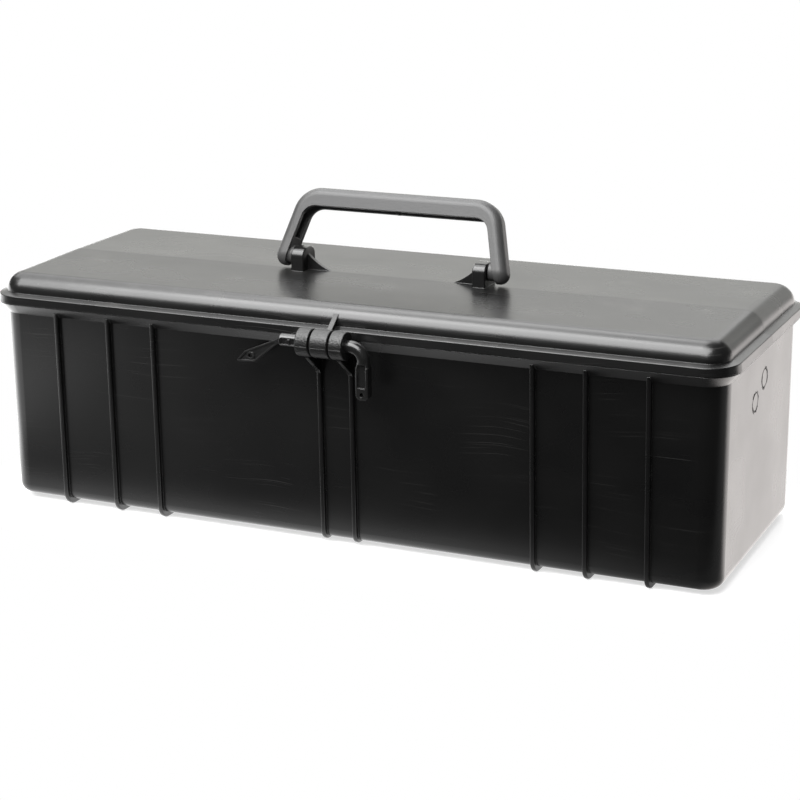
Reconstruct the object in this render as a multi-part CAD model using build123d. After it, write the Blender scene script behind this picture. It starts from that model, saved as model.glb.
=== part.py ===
"""Long black moulded toolbox with a hoop handle and a three-knuckle latch.

Millimetres. X runs along the box, -Y is the latch side and +Z is up. The origin lies on the
surface that the rib soles stand on, under the middle of the tub.
"""
from build123d import *
from math import atan, cos, degrees, radians, sin, sqrt, tan
import os

# Tub shell. Its length and width are outside sizes at the seam with the lid.
tub_length = 410.0
tub_width = 140.0
tub_depth = 111.0
tub_wall = 3.0
tub_floor = 3.2
tub_draft = 0.6
corner_radius = 12.0
floor_edge_radius = 5.5
inner_floor_radius = 4.0

# Flared rim round the tub's mouth.
rim_overhang = 5.0
rim_height = 6.0
rim_land = 3.6

# Rib bands that run down the front, under the floor and up the back.
rib_thickness = 2.4
rib_proud = 2.6
rib_edge_radius = 0.8
rib_sole = 3.0
latch_rib_sole = 1.0
side_rib_places = (108.0, 135.7, 168.0)

# Lid shell, flange and locating lip.
lid_height = 16.0
lid_wall = 2.8
lid_crown = 0.6
seam_gap = 0.2
skirt_height = 4.2
skirt_lean = 0.5
ledge_rise = 1.0
dome_overhang = 0.3
dome_radius = 10.0
lip_depth = 3.0
lip_thickness = 1.8
lip_clearance = 0.4
groove_height = 2.6

# Round moulding marks on the right end wall, each at its (y, z) place.
end_mark_places = ((-12.5, 85.6), (3.9, 93.9))
end_mark_diameter = 10.5
end_mark_width = 0.6
end_mark_depth = 0.3

# Knuckles of the front latch and of the rear hinges.
knuckle_diameter = 14.8
knuckle_gap = 0.8
knuckle_edge = 0.7
knuckle_reach = 13.8
knuckle_drop = 0.6
knuckle_inside_rib = 3.3
knuckle_outside_rib = 4.25
arm_drop = 18.6
arm_slope = 39.5
latch_rib_offset = 9.05
parting_line_drop = 1.0
parting_line_width = 0.5
parting_line_proud = 0.15

# Lid arm and gusset at each middle knuckle.
lid_arm_inset = 0.5
lid_arm_underside = 0.4
gusset_thickness = 2.8
gusset_rise = 6.2
gusset_inset = 1.8
gusset_slope = 36.5

# Latch pin.
pin_diameter = 6.6
pin_clearance = 0.1
pin_tip_length = 11.2
pin_tip_edge = 0.7
pin_bend_radius = 6.9
pin_leg_place = 22.1
pin_leg_length = 26.7
pin_leg_width = 7.0
pin_leg_depth = 5.6
pin_leg_edge = 0.7
pin_leg_corner = 2.6
pin_neck_length = 3.0
pin_recess_depth = 1.0
pin_recess_border = 1.2
pin_recess_corner = 0.9
pin_tip_recess_height = 3.4
pin_pip_diameter = 2.2
pin_pip_sink = 0.3
eye_inset = 2.8
eye_hole = 2.4
eye_collar = 4.2

# Spear-shaped tongue at the left of the latch, measured along its upper edge.
tongue_length = 46.4
tongue_shoulder = 38.8
tongue_tip_drop = 3.4
tongue_flare_start = 20.0
tongue_flare_end = 35.3
tongue_stem_width = 2.6
tongue_head_width = 7.1
tongue_thickness = 2.0
tongue_rim = 0.9
tongue_pocket_depth = 0.6
tongue_droop = 23.2
tongue_hole_place = 36.6
tongue_hole_drop = 3.3
tongue_standoff = 8.0
tongue_root_rise = 5.8
tongue_root_width = 5.4
tongue_root_length = 9.0
tongue_root_overlap = 1.2

# Steel pins of the rear hinges.
hinge_pin_diameter = 6.0
hinge_pin_clearance = 0.06
hinge_pin_play = 0.2
hinge_pin_head = 9.5
hinge_pin_head_height = 1.6
hinge_pin_tail = 7.2
hinge_pin_tail_height = 1.2
hinge_pin_rounding = 0.6

# Handle lugs on the lid.
lug_spacing = 106.6
lug_thickness = 7.4
lug_depth = 15.2
lug_height = 12.2
lug_top_radius = 5.0
lug_edge = 0.5
lug_bore_depth = 5.8
fin_length = 13.0
fin_height = 8.6
fin_thickness = 2.0
fin_sag = 1.0

# Handle. Its sizes are those of the upright hoop.
handle_width = 135.0
handle_reach = 37.4
handle_depth = 13.0
handle_leg_slant = 14.4
handle_leg_width = 7.4
handle_bar_height = 10.5
handle_outer_radius = 16.0
handle_inner_radius = 8.0
handle_skin = 2.4
handle_edge_radius = 4.6
handle_channel_radius = 1.6
handle_solid_end = 9.0
handle_floor_clearance = 1.0
handle_lean = 22.0
web_thickness = 1.6
stud_diameter = 6.0
stud_clearance = 0.08
stud_shoulder_diameter = 10.0
stud_shoulder_gap = 0.4
stud_end_gap = 0.6
gate_diameter = 3.2
gate_height = 0.9

# Levels and places that follow from the sizes above.
floor_z = rib_sole
seam_z = floor_z + tub_depth
lid_z = seam_z + seam_gap
skirt_top_z = lid_z + skirt_height
ledge_z = skirt_top_z + ledge_rise
lid_top_z = seam_z + lid_height
front_y = -tub_width / 2
knuckle_room = rim_overhang + knuckle_diameter / 2 + 2 * seam_gap
knuckle_y = tub_width / 2 + max(knuckle_reach, knuckle_room)
knuckle_z = seam_z - knuckle_drop
rim_angle = degrees(atan(rim_overhang / rim_height))
down = (0, 0, -1)
cut_margin = 1.0
edge_break = 0.4
match_tolerance = 0.01
nearly_level = 0.9
side_rib_spacing = side_rib_places[1] - side_rib_places[0]
hinge_place = (side_rib_places[0] + side_rib_places[1]) / 2
pivot_z = lid_top_z + handle_depth / 2 + handle_floor_clearance


def outline(overhang):
    """Plan outline of the box, moved outward from the wall by overhang."""
    return RectangleRounded(
        tub_length + 2 * overhang,
        tub_width + 2 * overhang,
        corner_radius + overhang,
    )


def side_plate(points, x, thickness):
    """Plate across the box: a closed outline of (y, z) points, centred on x."""
    face = make_face(Polyline(*points, close=True))
    return extrude(Plane.YZ.offset(x - thickness / 2) * face, amount=thickness)


def x_cylinder(diameter, x_from, x_to, y, z):
    """Cylinder along X between two places."""
    length = x_to - x_from
    return Pos((x_from + x_to) / 2, y, z) * Rot(0, 90, 0) * Cylinder(diameter / 2, length)


def rib_band(x, sole):
    """One rib band: a thin plate with rounded edges that wraps front, floor and back."""
    top = seam_z - rim_height * (1 - rib_proud / rim_overhang) - rib_edge_radius / 2
    draft_shift = tub_depth * tan(radians(tub_draft))
    half_top = tub_width / 2 + rib_proud
    half_bottom = half_top - draft_shift
    sole_z = floor_z - sole
    points = [(-half_top, top), (-half_bottom, sole_z), (half_bottom, sole_z), (half_top, top)]
    face = make_face(Polyline(*points, close=True))
    face = fillet(face.vertices().group_by(Axis.Y)[0], floor_edge_radius + sole)
    plate = extrude(Plane.YZ.offset(x - rib_thickness / 2) * face, amount=rib_thickness)
    rims = []
    for side in (0, -1):
        for edge in plate.faces().sort_by(Axis.X)[side].edges():
            if edge.center().Z < top - match_tolerance:
                rims.append(edge)
    return fillet(rims, rib_edge_radius)


def knuckle_barrel(low, high, side):
    """One knuckle without its bore, with the fine parting line along its outer side."""
    reach = side * knuckle_y
    barrel = x_cylinder(knuckle_diameter, low, high, reach, knuckle_z)
    barrel = fillet(barrel.edges(), knuckle_edge)
    line_y = sqrt((knuckle_diameter / 2) ** 2 - parting_line_drop**2) + parting_line_proud
    line = Box(high - low - 2 * knuckle_edge, 2 * parting_line_width, parting_line_width)
    place = reach + side * (line_y - parting_line_width)
    return barrel + Pos((low + high) / 2, place, knuckle_z - parting_line_drop) * line


def tub_knuckles(x, rib_offset, side, bore):
    """Two tub knuckles on their arms, with a gap for the lid's knuckle between them."""
    reach = side * knuckle_y
    arm_base = side * (tub_width / 2 - tub_wall / 2)
    arm_face = side * (tub_width / 2 + rib_proud)
    arm_low = knuckle_z - arm_drop
    run = knuckle_reach + knuckle_diameter / 8 - rib_proud
    arm_end = (arm_face + side * run, arm_low + run * tan(radians(arm_slope)))
    arm_top = seam_z - seam_gap
    points = [
        (arm_base, arm_low - 2 * rib_proud),
        (arm_face, arm_low),
        arm_end,
        (reach, knuckle_z),
        (reach - side * knuckle_diameter / 4, knuckle_z + knuckle_diameter / 4),
        (side * (tub_width / 2 + rim_overhang + cut_margin), arm_top),
        (arm_base, arm_top),
    ]
    middle = Vector(0, (arm_face + arm_end[0]) / 2, (arm_low + arm_end[1]) / 2)
    solids = []
    holes = []
    for hand in (-1, 1):
        middle.X = x + hand * rib_offset
        plate = side_plate(points, middle.X, rib_thickness)
        front = plate.edges().filter_by(lambda e: (e.center() - middle).length < rib_thickness)
        solids.append(fillet(front, rib_edge_radius))
        inner = x + hand * (rib_offset - knuckle_inside_rib)
        outer = x + hand * (rib_offset + knuckle_outside_rib)
        low, high = min(inner, outer), max(inner, outer)
        solids.append(knuckle_barrel(low, high, side))
        holes.append(x_cylinder(bore, low - cut_margin, high + cut_margin, reach, knuckle_z))
    return solids, holes


def lid_knuckle(x, rib_offset, side, bore):
    """The lid's knuckle, its arm to the flange and its gusset up the dome."""
    half = rib_offset - knuckle_inside_rib - knuckle_gap
    reach = side * knuckle_y
    barrel = knuckle_barrel(x - half, x + half, side)
    flange_y = side * (tub_width / 2 + dome_overhang)
    lower = lid_z + lid_arm_underside
    upper = skirt_top_z - edge_break / 2
    arm_points = [
        (flange_y, lower),
        (reach, lower),
        (reach, knuckle_z + knuckle_diameter / 2),
        (reach - side * knuckle_diameter / 4, upper),
        (flange_y, upper),
    ]
    arm = side_plate(arm_points, x, 2 * (half - lid_arm_inset))
    foot_y = side * (tub_width / 2 - gusset_inset)
    run = knuckle_reach + gusset_inset - knuckle_diameter / 4
    apex_z = ledge_z + gusset_rise
    gusset_points = [
        (foot_y - side * dome_radius / 2, ledge_z - 2 * cut_margin),
        (foot_y - side * dome_radius / 2, apex_z),
        (foot_y, apex_z),
        (foot_y + side * run, apex_z - run * tan(radians(gusset_slope))),
        (foot_y + side * run, ledge_z - 2 * cut_margin),
    ]
    gusset = side_plate(gusset_points, x, gusset_thickness)
    hole = x_cylinder(bore, x - half - cut_margin, x + half + cut_margin, reach, knuckle_z)
    return [barrel, arm, gusset], hole


def tongue():
    """Spear-shaped tongue with a small hole, on a thin stem from the left latch knuckle."""
    points = [
        (0, 0),
        (tongue_shoulder, 0),
        (tongue_length, tongue_tip_drop),
        (tongue_flare_end, tongue_head_width),
        (tongue_flare_start, tongue_stem_width),
        (tongue_root_length, tongue_stem_width),
        (0, tongue_root_width),
    ]
    face = make_face(Polyline(*points, close=True))
    face = fillet(face.vertices().sort_by(Axis.X)[2:], tongue_rim)
    head = Pos(tongue_length, 0) * Rectangle(2 * (tongue_length - tongue_flare_start), tongue_length)
    pocket = offset(face, -tongue_rim, kind=Kind.ARC) & head
    blade = extrude(face, amount=tongue_thickness)
    blade -= extrude(Pos(0, 0, tongue_thickness) * pocket, amount=-tongue_pocket_depth)
    eye = Pos(tongue_hole_place, tongue_hole_drop)
    blade += extrude(eye * Circle(eye_collar / 2), amount=tongue_thickness)
    blade -= extrude(eye * Circle(eye_hole / 2), amount=tongue_thickness)
    root_x = tongue_root_overlap - latch_rib_offset - knuckle_outside_rib
    droop = radians(tongue_droop)
    plane = Plane(
        origin=(root_x, front_y - tongue_standoff, knuckle_z + tongue_root_rise),
        x_dir=(-cos(droop), 0, -sin(droop)),
        z_dir=(0, -1, 0),
    )
    return plane * blade


def make_tub():
    """Tub shell with rim, rib bands, knuckles, arms and tongue."""
    seam = Pos(0, 0, seam_z)
    body = extrude(seam * outline(0), amount=tub_depth, dir=down, taper=tub_draft)
    body = fillet(body.edges().group_by(Axis.Z)[0], floor_edge_radius)
    rim = extrude(seam * outline(rim_overhang), amount=rim_height, dir=down, taper=rim_angle)
    rim = chamfer(rim.edges().group_by(Axis.Z)[-1], edge_break)
    added = [rim, tongue()]
    for place in side_rib_places:
        added += [rib_band(-place, rib_sole), rib_band(place, rib_sole)]
    added += [rib_band(-latch_rib_offset, latch_rib_sole), rib_band(latch_rib_offset, latch_rib_sole)]
    latch_bore = pin_diameter + 2 * pin_clearance
    hinge_bore = hinge_pin_diameter + 2 * hinge_pin_clearance
    holes = []
    for x, offset_x, side, bore in knuckle_sets(latch_bore, hinge_bore):
        solids, cuts = tub_knuckles(x, offset_x, side, bore)
        added += solids
        holes += cuts
    body = body + added

    cavity_depth = tub_depth - tub_floor
    cavity = extrude(seam * outline(-tub_wall), amount=cavity_depth, dir=down, taper=tub_draft)
    cavity = fillet(cavity.edges().group_by(Axis.Z)[0], inner_floor_radius)
    mouth_overhang = rim_overhang - rim_land
    mouth_depth = (mouth_overhang + tub_wall) / tan(radians(rim_angle))
    mouth = extrude(seam * outline(mouth_overhang), amount=mouth_depth, dir=down, taper=rim_angle)
    return body - [cavity, mouth] - holes - end_marks()


def end_marks():
    """Shallow rings left by the mould on the right end wall."""
    rings = []
    for y, z in end_mark_places:
        wall_x = tub_length / 2 - (seam_z - z) * tan(radians(tub_draft))
        ring = Circle(end_mark_diameter / 2) - Circle(end_mark_diameter / 2 - end_mark_width)
        plane = Plane.YZ.offset(wall_x - end_mark_depth)
        rings.append(extrude(plane * Pos(y, z) * ring, amount=rim_overhang))
    return rings


def knuckle_sets(latch_bore, hinge_bore):
    """Place, rib offset, side and bore of the latch and of the two rear hinges."""
    return [
        (0, latch_rib_offset, -1, latch_bore),
        (-hinge_place, side_rib_spacing / 2, 1, hinge_bore),
        (hinge_place, side_rib_spacing / 2, 1, hinge_bore),
    ]


def lug(hand):
    """Handle lug on the lid's centreline with its fin towards the middle."""
    x = hand * lug_spacing / 2
    base = lid_top_z - lid_wall / 2
    height = lid_top_z + lug_height - base
    face = Pos(0, base + height / 2) * Rectangle(lug_depth, height)
    face = fillet(face.vertices().group_by(Axis.Y)[-1], lug_top_radius)
    block = extrude(Plane.YZ.offset(x - lug_thickness / 2) * face, amount=lug_thickness)
    block = chamfer(block.edges().filter_by(GeomType.CIRCLE), lug_edge)
    inner = x - hand * lug_thickness / 2
    tip = inner - hand * fin_length
    top = lid_top_z + fin_height
    middle = ((inner + tip) / 2, (top + lid_top_z) / 2 - fin_sag)
    slope = ThreePointArc((inner, top), middle, (tip, lid_top_z))
    rest = Polyline((tip, lid_top_z), (tip, base), (x, base), (x, top), (inner, top))
    fin_face = make_face([slope, rest])
    fin = extrude(Plane.XZ.offset(-fin_thickness / 2) * fin_face, amount=fin_thickness)
    return [block, fin]


def make_lid():
    """Domed lid with flared flange, locating lip, knuckles and handle lugs."""
    flange_top = Pos(0, 0, skirt_top_z) * outline(rim_overhang - skirt_lean)
    skirt = loft([Pos(0, 0, lid_z) * outline(rim_overhang), flange_top])
    ledge = loft([flange_top, Pos(0, 0, ledge_z) * outline(dome_overhang)])
    flange = skirt + ledge
    corner = flange.edges().filter_by(lambda e: abs(e.center().Z - skirt_top_z) < match_tolerance)
    flange = fillet(corner, edge_break)
    dome_height = lid_top_z - ledge_z + cut_margin
    dome = extrude(Pos(0, 0, ledge_z - cut_margin) * outline(dome_overhang), amount=dome_height)
    fall = degrees(atan(lid_crown / (tub_width / 2)))
    slab = Pos(0, tub_width / 2, tub_width / 2) * Box(2 * tub_length, tub_width, tub_width)
    for turn in (0, 180):
        roof = Pos(0, 0, lid_top_z) * Rot(0, 0, turn) * Rot(-fall, 0, 0) * slab
        dome -= roof
    dome = fillet(crown_edges(dome), dome_radius)

    added = [dome]
    latch_bore = pin_diameter + 2 * pin_clearance
    hinge_bore = hinge_pin_diameter + 2 * hinge_pin_clearance
    holes = []
    for x, offset_x, side, bore in knuckle_sets(latch_bore, hinge_bore):
        solids, hole = lid_knuckle(x, offset_x, side, bore)
        added += solids
        holes.append(hole)
    for hand in (-1, 1):
        added += lug(hand)
        bore = stud_diameter + 2 * stud_clearance
        outer = lug_spacing / 2 + lug_thickness / 2
        low, high = sorted((hand * (outer - lug_bore_depth), hand * (outer + cut_margin)))
        holes.append(x_cylinder(bore, low, high, 0, pivot_z))
    return flange + added - lid_cavity() - holes - lid_groove() + lid_lip()


def crown_edges(dome):
    """Edges round the roof of the dome, without the ridge."""
    picked = []
    for face in dome.faces():
        if face.normal_at().Z > nearly_level:
            for edge in face.edges():
                on_ridge = abs(edge.center().Y) < match_tolerance and edge.length > tub_length / 2
                if not on_ridge:
                    picked.append(edge)
    return ShapeList(picked)


def lid_cavity():
    """Inside of the lid, rounded to follow the dome."""
    height = lid_top_z - lid_crown - lid_wall - lid_z
    cavity = extrude(Pos(0, 0, lid_z) * outline(-lid_wall), amount=height)
    return fillet(cavity.edges().group_by(Axis.Z)[-1], dome_radius - lid_wall)


def lid_groove():
    """Groove under the flange, between the skirt and the lip, that evens out the wall."""
    ring = outline(rim_overhang - lid_wall) - outline(lip_overhang() + seam_gap)
    return extrude(Pos(0, 0, lid_z) * ring, amount=groove_height)


def lip_overhang():
    """Place of the lip's outer face, clear of the tub's flared mouth."""
    mouth_overhang = rim_overhang - rim_land
    return mouth_overhang - lip_depth * tan(radians(rim_angle)) - lip_clearance


def lid_lip():
    """Lip under the lid that drops inside the tub's mouth."""
    outer = lip_overhang()
    ring = outline(outer) - outline(outer - lip_thickness)
    return extrude(Pos(0, 0, lid_z - lip_depth) * ring, amount=lip_depth + lid_wall)


def tapered_hoop(width, top, slant, radius):
    """Closed outline of a hoop with slanted legs, from below the pivots to its top."""
    lean = tan(radians(slant))
    low = -handle_depth
    half_low = width / 2 - low * lean
    half_top = width / 2 - top * lean
    points = [(-half_low, low), (-half_top, top), (half_top, top), (half_low, low)]
    face = make_face(Polyline(*points, close=True))
    return fillet(face.vertices().group_by(Axis.Y)[-1], radius)


def make_handle():
    """Channel-section hoop with its pivot studs, leaning back on the lid."""
    outer = tapered_hoop(handle_width, handle_reach, handle_leg_slant, handle_outer_radius)
    inner_width = handle_width - 2 * handle_leg_width
    inner_top = handle_reach - handle_bar_height
    inner = tapered_hoop(inner_width, inner_top, handle_leg_slant, handle_inner_radius)
    half = handle_depth / 2
    hoop = extrude(Plane.XZ.offset(-half) * (outer - inner), amount=handle_depth)
    upright = Pos(0, 0, handle_reach) * Box(2 * handle_width, 2 * handle_depth, 2 * handle_reach)
    ends = x_cylinder(handle_depth, -handle_width, handle_width, 0, 0)
    hoop = hoop & (upright + ends)
    hoop = fillet(hoop_edges(hoop, half), handle_edge_radius)

    skin_face = tapered_hoop(
        handle_width - 2 * handle_skin,
        handle_reach - handle_skin,
        handle_leg_slant,
        handle_outer_radius - handle_skin,
    )
    channel_width = handle_depth - 2 * handle_skin
    channel = extrude(Plane.XZ.offset(-channel_width / 2) * (skin_face - inner), amount=channel_width)
    channel = fillet(hoop_edges(channel, channel_width / 2), handle_channel_radius)
    channel -= Pos(0, 0, handle_solid_end - handle_reach) * Box(
        2 * handle_width, handle_depth, 2 * handle_reach
    )
    web_place = handle_width / 2 - inner_top * tan(radians(handle_leg_slant)) - handle_outer_radius
    for hand in (-1, 1):
        web = Pos(hand * web_place, 0, handle_reach) * Rot(0, hand * -45, 0)
        channel -= web * Box(web_thickness, handle_depth, handle_reach)
    hoop -= channel

    inner_face = lug_spacing / 2 + lug_thickness / 2 + stud_shoulder_gap
    stud_end = lug_spacing / 2 + lug_thickness / 2 - lug_bore_depth + stud_end_gap
    leg_middle = (handle_width - handle_leg_width) / 2
    studs = []
    for hand in (-1, 1):
        for diameter, start in ((stud_shoulder_diameter, inner_face), (stud_diameter, stud_end)):
            low, high = sorted((hand * start, hand * leg_middle))
            studs.append(x_cylinder(diameter, low, high, 0, 0))
    gate_length = handle_bar_height - handle_skin + gate_height
    gate = Pos(0, 0, handle_reach - handle_skin - gate_length / 2) * Cylinder(
        gate_diameter / 2, gate_length
    )
    hoop = hoop + studs + [gate]
    return Pos(0, 0, pivot_z) * Rot(-handle_lean, 0, 0) * hoop


def hoop_edges(hoop, half):
    """Edges of a hoop's outer outline, on its front and back at half from the middle."""
    picked = []
    for edge in hoop.edges():
        middle = edge @ 0.5
        slope_x = handle_width / 2 - middle.Z * tan(radians(handle_leg_slant))
        on_side = abs(abs(middle.Y) - half) < match_tolerance
        outside = middle.Z > handle_reach - handle_bar_height / 2
        outside = outside or abs(middle.X) > slope_x - handle_leg_width / 2
        if on_side and outside and edge.length > edge_break:
            picked.append(edge)
    return ShapeList(picked)


def make_latch_pin():
    """L-shaped pin: recessed tip, round shank and elbow, flat leg with an eye."""
    tip_x = -(latch_rib_offset + knuckle_outside_rib + pin_tip_length)
    bend_x = pin_leg_place - pin_bend_radius
    shank = x_cylinder(pin_diameter, tip_x, bend_x, 0, 0)
    shank = chamfer(shank.edges().sort_by(Axis.X)[0], pin_tip_edge)
    elbow_face = Plane(origin=(bend_x, 0, 0), z_dir=(1, 0, 0)) * Circle(pin_diameter / 2)
    elbow = revolve(elbow_face, Axis((bend_x, 0, -pin_bend_radius), (0, 1, 0)), 90)

    leg_top = -pin_bend_radius - pin_neck_length
    neck_top = Pos(pin_leg_place, 0, -pin_bend_radius) * Circle(pin_diameter / 2)
    neck_low = RectangleRounded(pin_leg_width, pin_leg_depth, 2 * pin_leg_edge)
    neck = loft([neck_top, Pos(pin_leg_place, 0, leg_top) * neck_low])
    leg_height = pin_leg_length + leg_top
    leg_face = Pos(pin_leg_place, leg_top - leg_height / 2) * Rectangle(pin_leg_width, leg_height)
    leg_face = fillet(leg_face.vertices().group_by(Axis.Y)[0], pin_leg_corner)
    leg = extrude(Plane.XZ.offset(-pin_leg_depth / 2) * leg_face, amount=pin_leg_depth)
    leg = fillet(leg.edges().filter_by(lambda e: e.center().Z < leg_top - match_tolerance), pin_leg_edge)

    eye_z = eye_inset - pin_leg_length
    groove_top = -pin_bend_radius - pin_recess_border
    groove_low = eye_z + eye_collar / 2 + pin_recess_border
    groove = Rectangle(pin_leg_width - 2 * pin_recess_border, groove_top - groove_low)
    groove = fillet(groove.vertices(), pin_recess_corner)
    groove = Pos(pin_leg_place, (groove_top + groove_low) / 2) * groove
    tip_recess = Rectangle(pin_tip_length - 2 * pin_recess_border, pin_tip_recess_height)
    tip_recess = fillet(tip_recess.vertices(), pin_recess_corner)
    tip_middle = tip_x + pin_tip_length / 2
    tip_recess = Pos(tip_middle, 0) * tip_recess
    cuts = []
    for hand in (-1, 1):
        leg_plane = Plane.XZ.offset(hand * (pin_leg_depth / 2 - pin_recess_depth))
        cuts.append(extrude(leg_plane * groove, amount=hand * pin_diameter))
        tip_plane = Plane.XZ.offset(hand * (pin_diameter / 2 - pin_recess_depth))
        cuts.append(extrude(tip_plane * tip_recess, amount=hand * pin_diameter))
    cuts.append(Pos(pin_leg_place, 0, eye_z) * Rot(90, 0, 0) * Cylinder(eye_hole / 2, pin_diameter))
    pip_face = Plane.XZ.offset(pin_diameter / 2 - pin_pip_sink) * Pos(tip_middle, 0)
    pip = extrude(pip_face * Circle(pin_pip_diameter / 2), amount=-pin_recess_depth)
    pin = shank + [elbow, neck, leg] - cuts + pip
    return Pos(0, -knuckle_y, knuckle_z) * pin


def make_hinge_pin(hand):
    """Steel hinge pin, headed outside and riveted over inside."""
    span = side_rib_spacing / 2 + knuckle_outside_rib
    centre = hand * hinge_place
    outer = centre + hand * span
    inner = centre - hand * span
    play = hinge_pin_play
    pieces = [
        (hinge_pin_diameter, inner - hand * play, outer + hand * play),
        (hinge_pin_head, outer + hand * play, outer + hand * (play + hinge_pin_head_height)),
        (hinge_pin_tail, inner - hand * (play + hinge_pin_tail_height), inner - hand * play),
    ]
    shank, head, tail = [x_cylinder(d, min(a, b), max(a, b), 0, 0) for d, a, b in pieces]
    far = -1 if hand > 0 else 0
    head = fillet(head.edges().sort_by(Axis.X)[far], hinge_pin_head_height * hinge_pin_rounding)
    tail = fillet(tail.edges().sort_by(Axis.X)[-1 - far], hinge_pin_tail_height * hinge_pin_rounding)
    return Pos(0, knuckle_y, knuckle_z) * (shank + [head, tail])


if __name__ == "__main__":
    os.makedirs("parts", exist_ok=True)
    parts = {
        "tub": make_tub(),
        "lid": make_lid(),
        "handle": make_handle(),
        "latch_pin": make_latch_pin(),
        "hinge_pin_left": make_hinge_pin(-1),
        "hinge_pin_right": make_hinge_pin(1),
    }
    for name, part in parts.items():
        export_step(part, f"parts/{name}.step")
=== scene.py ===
"""Studio picture of a long black moulded toolbox with a hoop handle and a three-knuckle latch.

The shapes are the frame's own solids. This script gives them their moulded plastic and plated
steel, and sets the floor, the lights and the camera.
"""

import math

import bpy
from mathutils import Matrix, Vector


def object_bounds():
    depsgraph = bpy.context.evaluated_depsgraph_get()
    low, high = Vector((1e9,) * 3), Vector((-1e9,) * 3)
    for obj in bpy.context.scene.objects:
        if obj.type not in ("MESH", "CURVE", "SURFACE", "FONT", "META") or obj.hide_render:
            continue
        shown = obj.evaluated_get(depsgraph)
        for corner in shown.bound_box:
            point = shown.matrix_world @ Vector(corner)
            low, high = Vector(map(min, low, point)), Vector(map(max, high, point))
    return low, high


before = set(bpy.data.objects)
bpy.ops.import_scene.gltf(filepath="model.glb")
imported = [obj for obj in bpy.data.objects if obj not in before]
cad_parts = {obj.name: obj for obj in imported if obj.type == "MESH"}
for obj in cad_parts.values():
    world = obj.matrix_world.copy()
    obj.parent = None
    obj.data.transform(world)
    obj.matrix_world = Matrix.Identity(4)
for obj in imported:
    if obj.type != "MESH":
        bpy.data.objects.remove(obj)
cad_bounds = [list(corner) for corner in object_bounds()]
bpy.ops.object.select_all(action="DESELECT")
studio = bpy.context.scene
MM = 0.001

# The two round mould marks on the right end wall, as the tub has them, in millimetres.
MARK_PLACES = ((204.0, -12.5, 85.6), (204.0, 3.9, 93.9))
MARK_RADIUS = 5.2

# About half the box's length and half its width near the floor, in metres.
HALF_LENGTH = 0.2
HALF_WIDTH = 0.07

# Directions of the hairline scratches in degrees, each with its stretch, and how fine they lie.
SCRATCH_LINES = ((17, 11.0), (-34, 14.0), (68, 12.0), (112, 16.0))
HAIRLINE_SCALE = 1900.0

# The knuckle texture fades in over these spans, towards the front and upwards, in millimetres.
KNUCKLE_FRONT = (-77.0, -79.0)
KNUCKLE_FOOT = (92.0, 96.0)

# The lid's crease: how far it is in front of the middle, how far its slopes reach to each side
# and the span over which its line ends, in millimetres.
CREASE_FORWARD = 2.0
CREASE_REACH = 40.0
CREASE_LINE = (1.6, 0.2)

# Colours of scratched, worn and dusty plastic.
SCRATCHED_TONE = (0.075, 0.074, 0.072, 1)
WORN_TONE = (0.055, 0.054, 0.052, 1)
DUST_TONE = (0.33, 0.32, 0.30, 1)

# The camera's place in metres and its angles in degrees.
CAMERA_PLACE = (0.4698, -1.0202, 0.3961)
CAMERA_ANGLES = (75.456, 0.744, 24.326)


def start_group(name, inputs, outputs):
    """A new node group with named sockets, and its input and output nodes."""
    group = bpy.data.node_groups.new(name, "ShaderNodeTree")
    for label, kind in inputs:
        group.interface.new_socket(label, in_out="INPUT", socket_type=kind)
    for label, kind in outputs:
        group.interface.new_socket(label, in_out="OUTPUT", socket_type=kind)
    return group, group.nodes.new("NodeGroupInput"), group.nodes.new("NodeGroupOutput")


def math_node(tree, operation, first, second=None, third=None):
    """A Math node whose inputs are links or plain numbers. Returns its output."""
    node = tree.nodes.new("ShaderNodeMath")
    node.operation = operation
    for socket, value in zip(node.inputs, (first, second, third)):
        if value is None:
            continue
        if isinstance(value, (int, float)):
            socket.default_value = value
        else:
            tree.links.new(value, socket)
    return node.outputs["Value"]


def noise(tree, vector, scale, detail=2.0, roughness=0.5):
    """A Noise Texture on a vector. Its scale is a number or a link."""
    node = tree.nodes.new("ShaderNodeTexNoise")
    node.inputs["Detail"].default_value = detail
    node.inputs["Roughness"].default_value = roughness
    if isinstance(scale, (int, float)):
        node.inputs["Scale"].default_value = scale
    else:
        tree.links.new(scale, node.inputs["Scale"])
    tree.links.new(vector, node.inputs["Vector"])
    return node.outputs["Fac"]


def remap(tree, value, low, high, to_low=0.0, to_high=1.0, smooth=True):
    """A Map Range node from low..high to to_low..to_high."""
    node = tree.nodes.new("ShaderNodeMapRange")
    node.interpolation_type = "SMOOTHSTEP" if smooth else "LINEAR"
    node.inputs["From Min"].default_value = low
    node.inputs["From Max"].default_value = high
    node.inputs["To Min"].default_value = to_low
    node.inputs["To Max"].default_value = to_high
    tree.links.new(value, node.inputs["Value"])
    return node.outputs["Result"]


def turned(tree, vector, angles, stretch):
    """The vector turned by angles in degrees and stretched along its axes."""
    node = tree.nodes.new("ShaderNodeMapping")
    node.inputs["Rotation"].default_value = [math.radians(angle) for angle in angles]
    node.inputs["Scale"].default_value = stretch
    tree.links.new(vector, node.inputs["Vector"])
    return node.outputs["Vector"]


def blend_value(tree, factor, first, second):
    """first where the factor is 0 and second where it is 1."""
    change = math_node(tree, "SUBTRACT", second, first)
    return math_node(tree, "MULTIPLY_ADD", change, factor, first)


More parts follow.
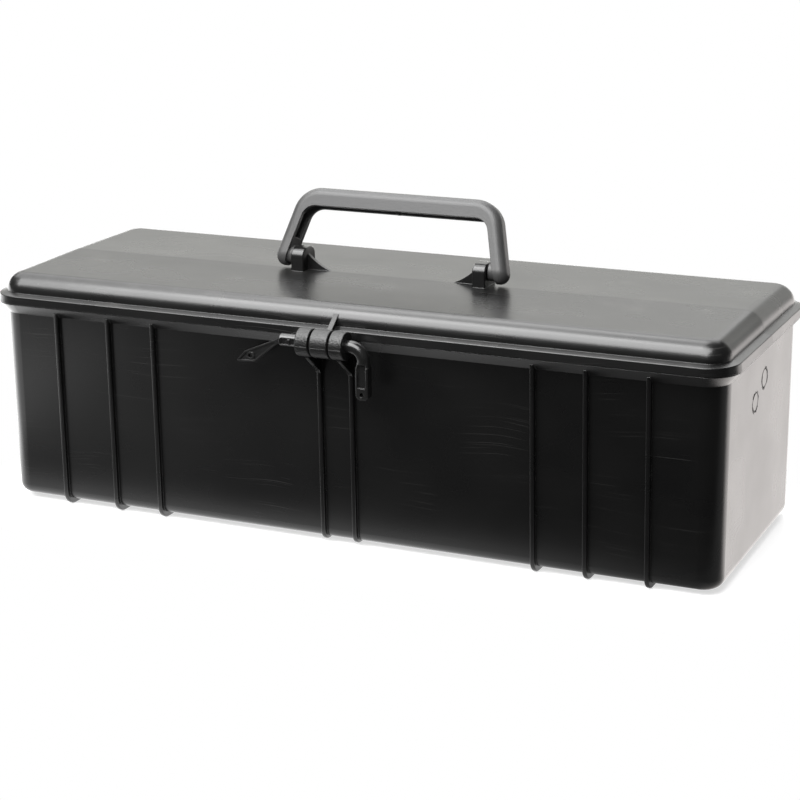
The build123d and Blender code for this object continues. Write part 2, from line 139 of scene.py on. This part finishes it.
def make_grain_group():
    """Moulded skin: a very fine grain on a slow waviness, and a cloudy tone."""
    group, entry, leave = start_group(
        "Moulded grain",
        [
            ("Vector", "NodeSocketVector"),
            ("Grain Scale", "NodeSocketFloat"),
            ("Waviness", "NodeSocketFloat"),
        ],
        [("Height", "NodeSocketFloat"), ("Cloud", "NodeSocketFloat")],
    )
    vector = entry.outputs["Vector"]
    fine = noise(group, vector, entry.outputs["Grain Scale"], 3.0, 0.6)
    slow = noise(group, turned(group, vector, (0, 0, 0), (1.0, 2.0, 2.6)), 13.0, 1.0)
    wave = math_node(group, "MULTIPLY", slow, entry.outputs["Waviness"])
    height = math_node(group, "ADD", fine, wave)
    cloud = noise(group, turned(group, vector, (0, 0, 8), (1.0, 1.6, 1.4)), 17.0, 2.0, 0.5)
    group.links.new(height, leave.inputs["Height"])
    group.links.new(cloud, leave.inputs["Cloud"])
    return group


def make_scratch_group():
    """Hair-fine scratches that lie in the face they are on, in four directions and uneven patches."""
    group, entry, leave = start_group(
        "Handling scratches",
        [
            ("Vector", "NodeSocketVector"),
            ("Facing", "NodeSocketVector"),
            ("Amount", "NodeSocketFloat"),
        ],
        [("Mask", "NodeSocketFloat")],
    )
    place = group.nodes.new("ShaderNodeSeparateXYZ")
    group.links.new(entry.outputs["Vector"], place.inputs["Vector"])
    facing = group.nodes.new("ShaderNodeSeparateXYZ")
    group.links.new(entry.outputs["Facing"], facing.inputs["Vector"])
    level = math_node(group, "GREATER_THAN", math_node(group, "ABSOLUTE", facing.outputs["Z"]), 0.7)
    end = math_node(group, "GREATER_THAN", math_node(group, "ABSOLUTE", facing.outputs["X"]), 0.7)
    across = blend_value(group, end, place.outputs["X"], place.outputs["Y"])
    up = blend_value(group, level, place.outputs["Z"], place.outputs["Y"])
    flat = group.nodes.new("ShaderNodeCombineXYZ")
    group.links.new(across, flat.inputs["X"])
    group.links.new(up, flat.inputs["Y"])
    bend = group.nodes.new("ShaderNodeTexNoise")
    bend.inputs["Scale"].default_value = 14.0
    bend.inputs["Detail"].default_value = 1.0
    group.links.new(flat.outputs["Vector"], bend.inputs["Vector"])
    bent = group.nodes.new("ShaderNodeVectorMath")
    bent.operation = "MULTIPLY_ADD"
    bent.inputs[1].default_value = (0.014, 0.014, 0.0)
    group.links.new(bend.outputs["Color"], bent.inputs[0])
    group.links.new(flat.outputs["Vector"], bent.inputs[2])
    total = None
    for angle, stretch in SCRATCH_LINES:
        drawn = turned(group, bent.outputs["Vector"], (0, 0, angle), (stretch, HAIRLINE_SCALE, 0.0))
        lines = noise(group, drawn, 1.0, 0.0)
        thin = remap(group, lines, 0.76, 0.80)
        total = thin if total is None else math_node(group, "MAXIMUM", total, thin)
    patches = remap(group, noise(group, flat.outputs["Vector"], 23.0, 2.0), 0.42, 0.72)
    kept = math_node(group, "MULTIPLY", total, patches)
    group.links.new(math_node(group, "MULTIPLY", kept, entry.outputs["Amount"]), leave.inputs["Mask"])
    return group


def make_edge_group():
    """Edge wear: 1 on the worn outside edges, broken up by a noise. Also the softened normal."""
    group, entry, leave = start_group(
        "Edge wear",
        [("Vector", "NodeSocketVector"), ("Amount", "NodeSocketFloat")],
        [("Mask", "NodeSocketFloat"), ("Normal", "NodeSocketVector")],
    )
    bevel = group.nodes.new("ShaderNodeBevel")
    bevel.samples = 6
    bevel.inputs["Radius"].default_value = 0.45 * MM
    geometry = group.nodes.new("ShaderNodeNewGeometry")
    turn = group.nodes.new("ShaderNodeVectorMath")
    turn.operation = "DOT_PRODUCT"
    group.links.new(bevel.outputs["Normal"], turn.inputs[0])
    group.links.new(geometry.outputs["Normal"], turn.inputs[1])
    bent = math_node(group, "SUBTRACT", 1.0, turn.outputs["Value"])
    edge = remap(group, bent, 0.02, 0.2)
    broken = remap(group, noise(group, entry.outputs["Vector"], 170.0, 3.0), 0.38, 0.62)
    kept = math_node(group, "MULTIPLY", edge, broken)
    mask = math_node(group, "MULTIPLY", kept, entry.outputs["Amount"])
    group.links.new(mask, leave.inputs["Mask"])
    group.links.new(bevel.outputs["Normal"], leave.inputs["Normal"])
    return group


def make_dust_group():
    """Dust and lint: specks and a thin film that lie on the faces that look up."""
    group, entry, leave = start_group(
        "Settled dust",
        [
            ("Vector", "NodeSocketVector"),
            ("Facing", "NodeSocketVector"),
            ("Amount", "NodeSocketFloat"),
        ],
        [("Mask", "NodeSocketFloat")],
    )
    split = group.nodes.new("ShaderNodeSeparateXYZ")
    group.links.new(entry.outputs["Facing"], split.inputs["Vector"])
    upward = remap(group, split.outputs["Z"], 0.25, 0.95)
    specks = group.nodes.new("ShaderNodeTexVoronoi")
    specks.inputs["Scale"].default_value = 95.0
    specks.inputs["Randomness"].default_value = 1.0
    group.links.new(entry.outputs["Vector"], specks.inputs["Vector"])
    speck = remap(group, specks.outputs["Distance"], 0.05, 0.02)
    film = remap(group, noise(group, entry.outputs["Vector"], 38.0, 5.0, 0.7), 0.5, 0.85, 0.0, 0.35)
    both = math_node(group, "ADD", speck, film)
    lying = math_node(group, "MULTIPLY", both, upward)
    group.links.new(math_node(group, "MULTIPLY", lying, entry.outputs["Amount"]), leave.inputs["Mask"])
    return group


def make_ring_group():
    """Smudged rings round the two mould marks on the right end wall: 1 on the rings, 0 elsewhere."""
    group, entry, leave = start_group(
        "Mould mark smudges",
        [
            ("Vector", "NodeSocketVector"),
            ("Ring Radius", "NodeSocketFloat"),
            ("Amount", "NodeSocketFloat"),
        ],
        [("Mask", "NodeSocketFloat")],
    )
    vector = entry.outputs["Vector"]
    total = None
    for place in MARK_PLACES:
        away = group.nodes.new("ShaderNodeVectorMath")
        away.operation = "DISTANCE"
        away.inputs[1].default_value = [length * MM for length in place]
        group.links.new(vector, away.inputs[0])
        off = math_node(group, "SUBTRACT", away.outputs["Value"], entry.outputs["Ring Radius"])
        ring = remap(group, math_node(group, "ABSOLUTE", off), 1.3 * MM, 0.5 * MM)
        total = ring if total is None else math_node(group, "MAXIMUM", total, ring)
    broken = remap(group, noise(group, vector, 210.0, 2.0), 0.42, 0.54)
    kept = math_node(group, "MULTIPLY", total, broken)
    mask = math_node(group, "MULTIPLY", kept, entry.outputs["Amount"])
    group.links.new(mask, leave.inputs["Mask"])
    return group


def make_knuckle_group():
    """The coarser leathery texture of the three latch knuckles: 1 on them, and a wrinkled height."""
    group, entry, leave = start_group(
        "Knuckle texture",
        [
            ("Vector", "NodeSocketVector"),
            ("Wrinkle Scale", "NodeSocketFloat"),
            ("Depth", "NodeSocketFloat"),
        ],
        [("Mask", "NodeSocketFloat"), ("Height", "NodeSocketFloat")],
    )
    place = group.nodes.new("ShaderNodeSeparateXYZ")
    group.links.new(entry.outputs["Vector"], place.inputs["Vector"])
    front = remap(group, place.outputs["Y"], KNUCKLE_FRONT[0] * MM, KNUCKLE_FRONT[1] * MM)
    high = remap(group, place.outputs["Z"], KNUCKLE_FOOT[0] * MM, KNUCKLE_FOOT[1] * MM)
    mask = math_node(group, "MULTIPLY", front, high)
    wrinkles = noise(group, entry.outputs["Vector"], entry.outputs["Wrinkle Scale"], 2.0, 0.6)
    masked = math_node(group, "MULTIPLY", wrinkles, mask)
    height = math_node(group, "MULTIPLY", masked, entry.outputs["Depth"])
    group.links.new(mask, leave.inputs["Mask"])
    group.links.new(height, leave.inputs["Height"])
    return group


GRAIN = make_grain_group()
SCRATCHES = make_scratch_group()
EDGES = make_edge_group()
DUST = make_dust_group()
RINGS = make_ring_group()
KNUCKLES = make_knuckle_group()


def start_material(name):
    """A material with its Principled BSDF and the object's own coordinates."""
    material = bpy.data.materials.new(name)
    material.use_nodes = True
    tree = material.node_tree
    place = tree.nodes.new("ShaderNodeTexCoord")
    return material, tree, tree.nodes["Principled BSDF"], place


def place_group(tree, group, links, values):
    """The group as a node of a material, with its inputs linked or set."""
    node = tree.nodes.new("ShaderNodeGroup")
    node.node_tree = group
    for label, source in links.items():
        tree.links.new(source, node.inputs[label])
    for label, value in values.items():
        node.inputs[label].default_value = value
    return node


def mix_colour(tree, factor, first, second):
    """A colour mix of two plain colours or links by a mask."""
    node = tree.nodes.new("ShaderNodeMix")
    node.data_type = "RGBA"
    tree.links.new(factor, node.inputs["Factor"])
    for socket, value in ((node.inputs[6], first), (node.inputs[7], second)):
        if isinstance(value, tuple):
            socket.default_value = value
        else:
            tree.links.new(value, socket)
    return node.outputs[2]


def black_plastic(name, tone, roughness, grain_scale, waviness, bump, scratched, worn, dusty):
    """Black moulded polypropylene with grain, scratches, worn edges and a little dust."""
    material, tree, shader, place = start_material(name)
    vector = place.outputs["Object"]
    grain = place_group(tree, GRAIN, {"Vector": vector}, {"Grain Scale": grain_scale, "Waviness": waviness})
    facing = {"Vector": vector, "Facing": place.outputs["Normal"]}
    scratches = place_group(tree, SCRATCHES, facing, {"Amount": scratched})
    edges = place_group(tree, EDGES, {"Vector": vector}, {"Amount": worn})
    dust = place_group(tree, DUST, facing, {"Amount": dusty})

    dark = (tone * 0.8, tone * 0.8, tone * 0.82, 1)
    light = (tone * 1.25, tone * 1.24, tone * 1.22, 1)
    colour = mix_colour(tree, remap(tree, grain.outputs["Cloud"], 0.2, 0.8), dark, light)
    colour = mix_colour(tree, scratches.outputs["Mask"], colour, SCRATCHED_TONE)
    colour = mix_colour(tree, edges.outputs["Mask"], colour, WORN_TONE)
    colour = mix_colour(tree, dust.outputs["Mask"], colour, DUST_TONE)
    tree.links.new(colour, shader.inputs["Base Color"])

    satin = remap(tree, grain.outputs["Cloud"], 0.2, 0.8, roughness - 0.03, roughness + 0.03)
    satin = math_node(tree, "MULTIPLY_ADD", scratches.outputs["Mask"], 0.18, satin)
    satin = math_node(tree, "MULTIPLY_ADD", dust.outputs["Mask"], 0.35, satin)
    tree.links.new(satin, shader.inputs["Roughness"])

    relief = math_node(tree, "MULTIPLY_ADD", scratches.outputs["Mask"], -0.4, grain.outputs["Height"])
    rise = tree.nodes.new("ShaderNodeBump")
    rise.inputs["Strength"].default_value = bump
    rise.inputs["Distance"].default_value = 0.1 * MM
    tree.links.new(relief, rise.inputs["Height"])
    tree.links.new(edges.outputs["Normal"], rise.inputs["Normal"])
    tree.links.new(rise.outputs["Normal"], shader.inputs["Normal"])
    shader.inputs["IOR"].default_value = 1.49
    return material


def plated_steel(name):
    """Bright zinc-plated steel, turned marks round its axis and a few dull spots."""
    material, tree, shader, place = start_material(name)
    vector = place.outputs["Object"]
    grain = place_group(tree, GRAIN, {"Vector": vector}, {"Grain Scale": 2400.0, "Waviness": 0.5})
    edges = place_group(tree, EDGES, {"Vector": vector}, {"Amount": 0.6})
    rings = noise(tree, turned(tree, vector, (0, 0, 0), (5200.0, 60.0, 60.0)), 1.0, 2.0)
    dull = remap(tree, grain.outputs["Cloud"], 0.48, 0.66)
    colour = mix_colour(tree, dull, (0.56, 0.57, 0.60, 1), (0.40, 0.40, 0.39, 1))
    colour = mix_colour(tree, edges.outputs["Mask"], colour, (0.70, 0.71, 0.72, 1))
    tree.links.new(colour, shader.inputs["Base Color"])
    shader.inputs["Metallic"].default_value = 1.0
    tree.links.new(remap(tree, grain.outputs["Cloud"], 0.3, 0.7, 0.24, 0.42), shader.inputs["Roughness"])
    relief = math_node(tree, "ADD", rings, grain.outputs["Height"])
    rise = tree.nodes.new("ShaderNodeBump")
    rise.inputs["Strength"].default_value = 0.25
    rise.inputs["Distance"].default_value = 0.03 * MM
    tree.links.new(relief, rise.inputs["Height"])
    tree.links.new(edges.outputs["Normal"], rise.inputs["Normal"])
    tree.links.new(rise.outputs["Normal"], shader.inputs["Normal"])
    return material


def dress(node, material):
    """Gives a node of the frame its material in every slot that it has."""
    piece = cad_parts[node]
    for held in piece.material_slots:
        held.material = material


def add_relief(material, mask, height, rougher, distance):
    """Lays one more relief on a material, with its own depth, and roughens it under the mask."""
    tree = material.node_tree
    shader = tree.nodes["Principled BSDF"]
    satin = shader.inputs["Roughness"].links[0].from_socket
    tree.links.new(math_node(tree, "MULTIPLY_ADD", mask, rougher, satin), shader.inputs["Roughness"])
    normal = shader.inputs["Normal"].links[0].from_socket
    rise = tree.nodes.new("ShaderNodeBump")
    rise.inputs["Strength"].default_value = 1.0
    rise.inputs["Distance"].default_value = distance
    tree.links.new(height, rise.inputs["Height"])
    tree.links.new(normal, rise.inputs["Normal"])
    tree.links.new(rise.outputs["Normal"], shader.inputs["Normal"])


def with_knuckles(material, scale, depth):
    """The rougher texture of the latch knuckles that belong to the piece."""
    vector = {"Vector": material.node_tree.nodes["Texture Coordinate"].outputs["Object"]}
    values = {"Wrinkle Scale": scale, "Depth": depth}
    knuckles = place_group(material.node_tree, KNUCKLES, vector, values)
    mask, height = knuckles.outputs["Mask"], knuckles.outputs["Height"]
    add_relief(material, mask, height, rougher=0.14, distance=0.35 * MM)
    return material


def with_mould_marks(material):
    """The smudged rings of the end wall, dented in."""
    tree = material.node_tree
    vector = {"Vector": tree.nodes["Texture Coordinate"].outputs["Object"]}
    rings = place_group(tree, RINGS, vector, {"Ring Radius": MARK_RADIUS * MM, "Amount": 1.0})
    dented = math_node(tree, "MULTIPLY", rings.outputs["Mask"], -1.0)
    add_relief(material, rings.outputs["Mask"], dented, rougher=0.3, distance=0.4 * MM)
    return material


def with_crease(material):
    """The faint crease that runs along the middle of the lid, where its two shallow slopes meet."""
    tree = material.node_tree
    split = tree.nodes.new("ShaderNodeSeparateXYZ")
    tree.links.new(tree.nodes["Texture Coordinate"].outputs["Object"], split.inputs["Vector"])
    off = math_node(tree, "ADD", split.outputs["Y"], CREASE_FORWARD * MM)
    away = math_node(tree, "ABSOLUTE", off)
    slope = remap(tree, away, CREASE_REACH * MM, 0.0, smooth=False)
    ridge = math_node(tree, "MULTIPLY", slope, slope)
    line = remap(tree, away, CREASE_LINE[0] * MM, CREASE_LINE[1] * MM)
    add_relief(material, line, ridge, rougher=0.03, distance=0.45 * MM)
    return material


tub_plastic = black_plastic(
    "tub polypropylene", tone=0.002, roughness=0.28, grain_scale=1500.0, waviness=2.2,
    bump=0.12, scratched=0.16, worn=0.3, dusty=0.06,
)
lid_plastic = black_plastic(
    "lid polypropylene", tone=0.003, roughness=0.28, grain_scale=1500.0, waviness=2.6,
    bump=0.12, scratched=0.25, worn=0.4, dusty=0.16,
)
handle_plastic = black_plastic(
    "handle polypropylene", tone=0.032, roughness=0.47, grain_scale=1100.0, waviness=1.6,
    bump=0.30, scratched=0.30, worn=1.0, dusty=0.15,
)
pin_plastic = black_plastic(
    "latch pin plastic", tone=0.005, roughness=0.24, grain_scale=1700.0, waviness=1.2,
    bump=0.10, scratched=0.20, worn=0.7, dusty=0.06,
)
dress("tub", with_mould_marks(with_knuckles(tub_plastic, scale=900.0, depth=1.0)))
dress("lid", with_crease(with_knuckles(lid_plastic, scale=1000.0, depth=0.8)))
dress("handle", handle_plastic)
dress("latch_pin", pin_plastic)
steel = plated_steel("plated hinge steel")
dress("hinge_pin_left", steel)
dress("hinge_pin_right", steel)


def painted_reflection_glow(tree, across, along):
    """Brightness and tint of the floor's painted glow, which only reflections see: a dark table with
    painted pools of light at left, front and right.
    """
    leftward = remap(tree, across, 0.18, -0.34, 0.0, 0.75, smooth=False)
    table_glow = math_node(tree, "MULTIPLY_ADD", leftward, leftward, 0.03)
    table_glow = math_node(tree, "ADD", table_glow, remap(tree, across, -0.255, -0.33, 0.0, 1.4))
    table_glow = math_node(tree, "MULTIPLY", table_glow, remap(tree, along, -0.46, -0.2, 0.08, 1.0))
    # Painted glow, bright from the foot of the front wall backwards and weaker towards the right: a painted
    # reflection for the tub's rim.
    painted_rim_glow = remap(tree, along, -0.118, -0.068, 0.0, 1.8)
    painted_rim_glow = math_node(tree, "MULTIPLY", painted_rim_glow, remap(tree, across, 0.21, 0.02, 0.15, 1.0))
    front = math_node(tree, "ADD", table_glow, painted_rim_glow)
    # A painted glow shaped like a warm white card beside the right end, with a slanting edge, seen only in
    # reflections.
    slant = math_node(tree, "MULTIPLY_ADD", across, -0.75, along)
    painted_card_glow = remap(tree, slant, -0.235, -0.185)
    painted_card_glow = math_node(tree, "MULTIPLY", painted_card_glow, remap(tree, across, 0.19, 0.205, 0.0, 2.15))
    tint = mix_colour(tree, remap(tree, painted_card_glow, 0.0, 0.6), (1, 1, 1, 1), (1, 0.955, 0.93, 1))
    return math_node(tree, "ADD", front, painted_card_glow), tint


def foot_distance(tree, across, along):
    """Distance on the floor from the box's foot, 0 under it."""
    beside = math_node(tree, "SUBTRACT", math_node(tree, "ABSOLUTE", across), HALF_LENGTH)
    before = math_node(tree, "SUBTRACT", math_node(tree, "ABSOLUTE", along), HALF_WIDTH)
    beside = math_node(tree, "POWER", math_node(tree, "MAXIMUM", beside, 0.0), 2.0)
    before = math_node(tree, "POWER", math_node(tree, "MAXIMUM", before, 0.0), 2.0)
    return math_node(tree, "SQRT", math_node(tree, "ADD", beside, before))


def make_floor():
    """Plain pale floor, white away from the box. Reflections see a painted glow of a lit table instead."""
    bpy.ops.mesh.primitive_plane_add(size=30, location=(0, 0, cad_bounds[0][2]))
    floor = bpy.context.object
    floor.name = "floor"
    material = bpy.data.materials.new("pale floor")
    material.use_nodes = True
    tree = material.node_tree
    pale = tree.nodes["Principled BSDF"]
    pale.inputs["Base Color"].default_value = (0.9, 0.9, 0.9, 1)
    pale.inputs["Roughness"].default_value = 0.9
    pale.inputs["Emission Color"].default_value = (1, 1, 1, 1)
    pale.inputs["Emission Strength"].default_value = 0.35
    place = tree.nodes.new("ShaderNodeTexCoord")
    split = tree.nodes.new("ShaderNodeSeparateXYZ")
    tree.links.new(place.outputs["Object"], split.inputs["Vector"])
    across, along = split.outputs["X"], split.outputs["Y"]
    strength, tint = painted_reflection_glow(tree, across, along)
    glow = tree.nodes.new("ShaderNodeEmission")
    tree.links.new(strength, glow.inputs["Strength"])
    tree.links.new(tint, glow.inputs["Color"])
    white = tree.nodes.new("ShaderNodeEmission")
    faded = tree.nodes.new("ShaderNodeMixShader")
    away = foot_distance(tree, across, along)
    tree.links.new(remap(tree, away, 0.0, 0.045, 0.45, 1.0), faded.inputs["Fac"])
    tree.links.new(pale.outputs["BSDF"], faded.inputs[1])
    tree.links.new(white.outputs["Emission"], faded.inputs[2])
    # Glossy rays see the painted glow in place of the pale floor.
    path = tree.nodes.new("ShaderNodeLightPath")
    either = tree.nodes.new("ShaderNodeMixShader")
    tree.links.new(path.outputs["Is Glossy Ray"], either.inputs["Fac"])
    tree.links.new(faded.outputs["Shader"], either.inputs[1])
    tree.links.new(glow.outputs["Emission"], either.inputs[2])
    tree.links.new(either.outputs["Shader"], tree.nodes["Material Output"].inputs["Surface"])
    floor.data.materials.append(material)


def softbox(name, place, width, height, radiance, colour=(1, 1, 1)):
    """Rectangular soft light aimed at the box. radiance is its surface brightness."""
    aim = (0, 0, 0.12)
    bpy.ops.object.light_add(type="AREA", location=place)
    lamp = bpy.context.object
    lamp.name = name
    lamp.data.shape = "RECTANGLE"
    lamp.data.size = width
    lamp.data.size_y = height
    lamp.data.energy = radiance * math.pi * width * height
    lamp.data.color = colour
    lamp.visible_camera = False
    direction = [a - b for a, b in zip(aim, place)]
    flat = math.hypot(direction[0], direction[1])
    tilt = math.atan2(flat, -direction[2])
    lamp.rotation_euler = (tilt, 0, math.atan2(direction[1], direction[0]) - math.pi / 2)


def make_room():
    """White all round for the camera, a dim room for reflections."""
    room = bpy.data.worlds.new("studio")
    studio.world = room
    room.use_nodes = True
    tree = room.node_tree
    backdrop = tree.nodes["Background"]
    backdrop.inputs["Color"].default_value = (1, 1, 1, 1)
    path = tree.nodes.new("ShaderNodeLightPath")
    strength = remap(tree, path.outputs["Is Camera Ray"], 0.0, 1.0, 0.10, 1.0, smooth=False)
    tree.links.new(strength, backdrop.inputs["Strength"])


make_floor()
make_room()
softbox("key softbox", (-0.24, -0.86, 1.30), width=1.9, height=1.25, radiance=11.5)
softbox("overhead softbox", (-0.55, 0.15, 1.84), width=1.9, height=1.1, radiance=4.6)
softbox("rear softbox", (-0.72, 1.05, 1.56), width=2.8, height=1.5, radiance=2.6)
softbox("back panel", (-0.4, 1.9, 0.56), width=3.2, height=0.95, radiance=1.1, colour=(1, 1, 0.955))

bpy.ops.object.camera_add(location=CAMERA_PLACE)
camera = bpy.context.object
camera.rotation_euler = [math.radians(angle) for angle in CAMERA_ANGLES]
camera.data.sensor_width = 36
camera.data.lens = 96.5
camera.data.shift_y = -0.098
camera.data.clip_end = 50
studio.camera = camera
studio.view_settings.view_transform = "Standard"
